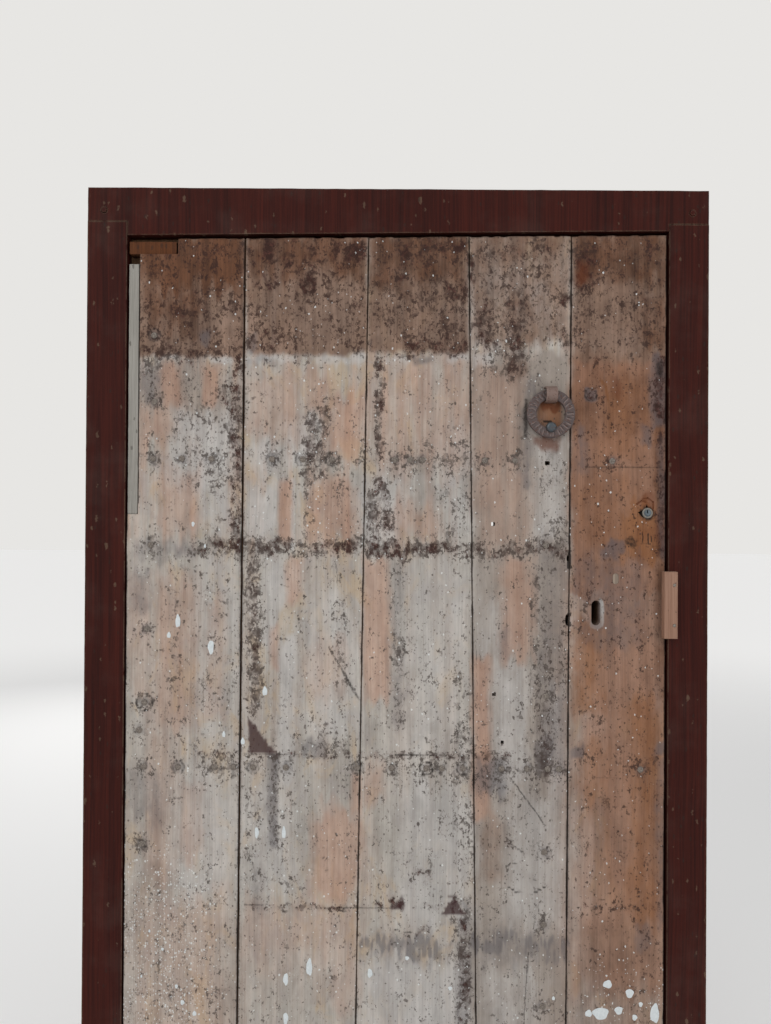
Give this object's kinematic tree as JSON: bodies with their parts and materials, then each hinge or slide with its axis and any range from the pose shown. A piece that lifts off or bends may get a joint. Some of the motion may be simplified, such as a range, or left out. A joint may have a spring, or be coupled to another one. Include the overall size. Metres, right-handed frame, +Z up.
{
  "type": "boarded door with frame",
  "caption": "Old straight-headed timber door of wide vertical boards on a framed back, hung in a rebated frame, with ring knocker, rim lock, rim cylinder and strap hinges.",
  "frame": {"origin": "centre of the frame's foot, under the middle of the threshold, on the plane it stands on", "axes": "+Z up; +Y into the house, so the outside face looks along -Y; +X to the right seen from outside, from the hinge side to the lock side"},
  "size_m": [1.096, 0.1426, 1.9872],
  "materials": {
    "frame_paint": "old dark red-brown oil paint on timber, dull, worn at edges",
    "fresh_wood": "fresh planed softwood, unfinished, pinkish orange",
    "old_boards": "weathered softwood, worn-off red-brown paint, grey flecks, orange bare patches",
    "back_framing": "aged bare softwood, brown, dusty",
    "pale_lath": "pale grey-white bare wood",
    "patch_wood": "orange-brown bare wood",
    "old_iron": "dark forged iron with rust",
    "knocker_iron": "grey-mauve forged iron with a rusty bloom and punched marks",
    "striker_steel": "bluish grey polished striking face",
    "lock_iron": "black japanned sheet iron, chipped",
    "bolt_steel": "bare steel, rubbed, light rust",
    "cylinder_metal": "dull nickel rim, scratched",
    "plug_metal": "blue-grey worn metal face with a key slot",
    "knob_brass": "dull old brass"
  },
  "bodies": {
    "frame": {"hinge_jamb": "frame_paint", "lock_jamb": "frame_paint", "frame_head": "frame_paint", "threshold": "frame_paint", "frame_pegs": "frame_paint", "stop_block": "fresh_wood", "stop_block_nails": "old_iron", "upper_pintle": "old_iron", "lower_pintle": "old_iron", "pintle_screws": "old_iron", "lock_keeper": "lock_iron", "rim_keeper": "lock_iron", "keeper_screws": "old_iron"},
    "leaf": {"board_1": "old_boards", "board_2": "old_boards", "board_3": "old_boards", "board_4": "old_boards", "board_5": "old_boards", "hinge_stile": "back_framing", "lock_stile": "back_framing", "top_rail": "back_framing", "bottom_rail": "back_framing", "upper_ledge": "back_framing", "middle_ledge": "back_framing", "lower_ledge": "back_framing", "edge_lath": "pale_lath", "corner_patch": "patch_wood", "hole_plug": "pale_lath", "upper_nails": "old_iron", "middle_nails": "old_iron", "lower_nails": "old_iron", "stile_nails": "old_iron", "upper_strap": "old_iron", "lower_strap": "old_iron", "strap_screws": "old_iron", "ring_clasp": "knocker_iron", "lock_plate": "lock_iron", "lock_case": "lock_iron", "guide_stud": "lock_iron", "key_post": "lock_iron", "bolt_spring": "lock_iron", "lock_screws": "old_iron", "cylinder_body": "cylinder_metal", "latch_plate": "lock_iron", "latch_case": "lock_iron", "latch_screws": "old_iron"},
    "ring": {"knocker_ring": "knocker_iron", "striker_knob": "striker_steel"},
    "lock_bolt": {"lock_bolt": "bolt_steel"},
    "rim_bolt": {"rim_bolt": "bolt_steel"},
    "spindle": {"cylinder_plug": "plug_metal", "tailpiece": "bolt_steel", "cam_hub": "bolt_steel", "inside_knob": "knob_brass"}
  },
  "joints": [
    {"name": "leaf_swing", "type": "hinge", "parent": "frame", "child": "leaf", "pos_m": [-0.5, 0.0495, 0], "axis": [0, 0, 1], "range_deg": [0, 100]},
    {"name": "ring_swing", "type": "hinge", "parent": "leaf", "child": "ring", "pos_m": [0.2685, -0.04435, 1.6245], "axis": [-1, 0, 0], "range_deg": [0, 165]},
    {"name": "lock_bolt_slide", "type": "slide", "parent": "leaf", "child": "lock_bolt", "axis": [1, 0, 0], "range_m": [0, 0.02]},
    {"name": "plug_turn", "type": "hinge", "parent": "leaf", "child": "spindle", "pos_m": [0.4416, 0, 1.418], "axis": [0, 1, 0], "range_deg": [0, 90]},
    {"name": "rim_bolt_slide", "type": "slide", "parent": "leaf", "child": "rim_bolt", "axis": [1, 0, 0], "range_m": [0, 0.01415]}
  ],
  "couplings": [
    {"joint": "rim_bolt_slide", "follows": "plug_turn", "m_per_rad": 0.0090032}
  ]
}
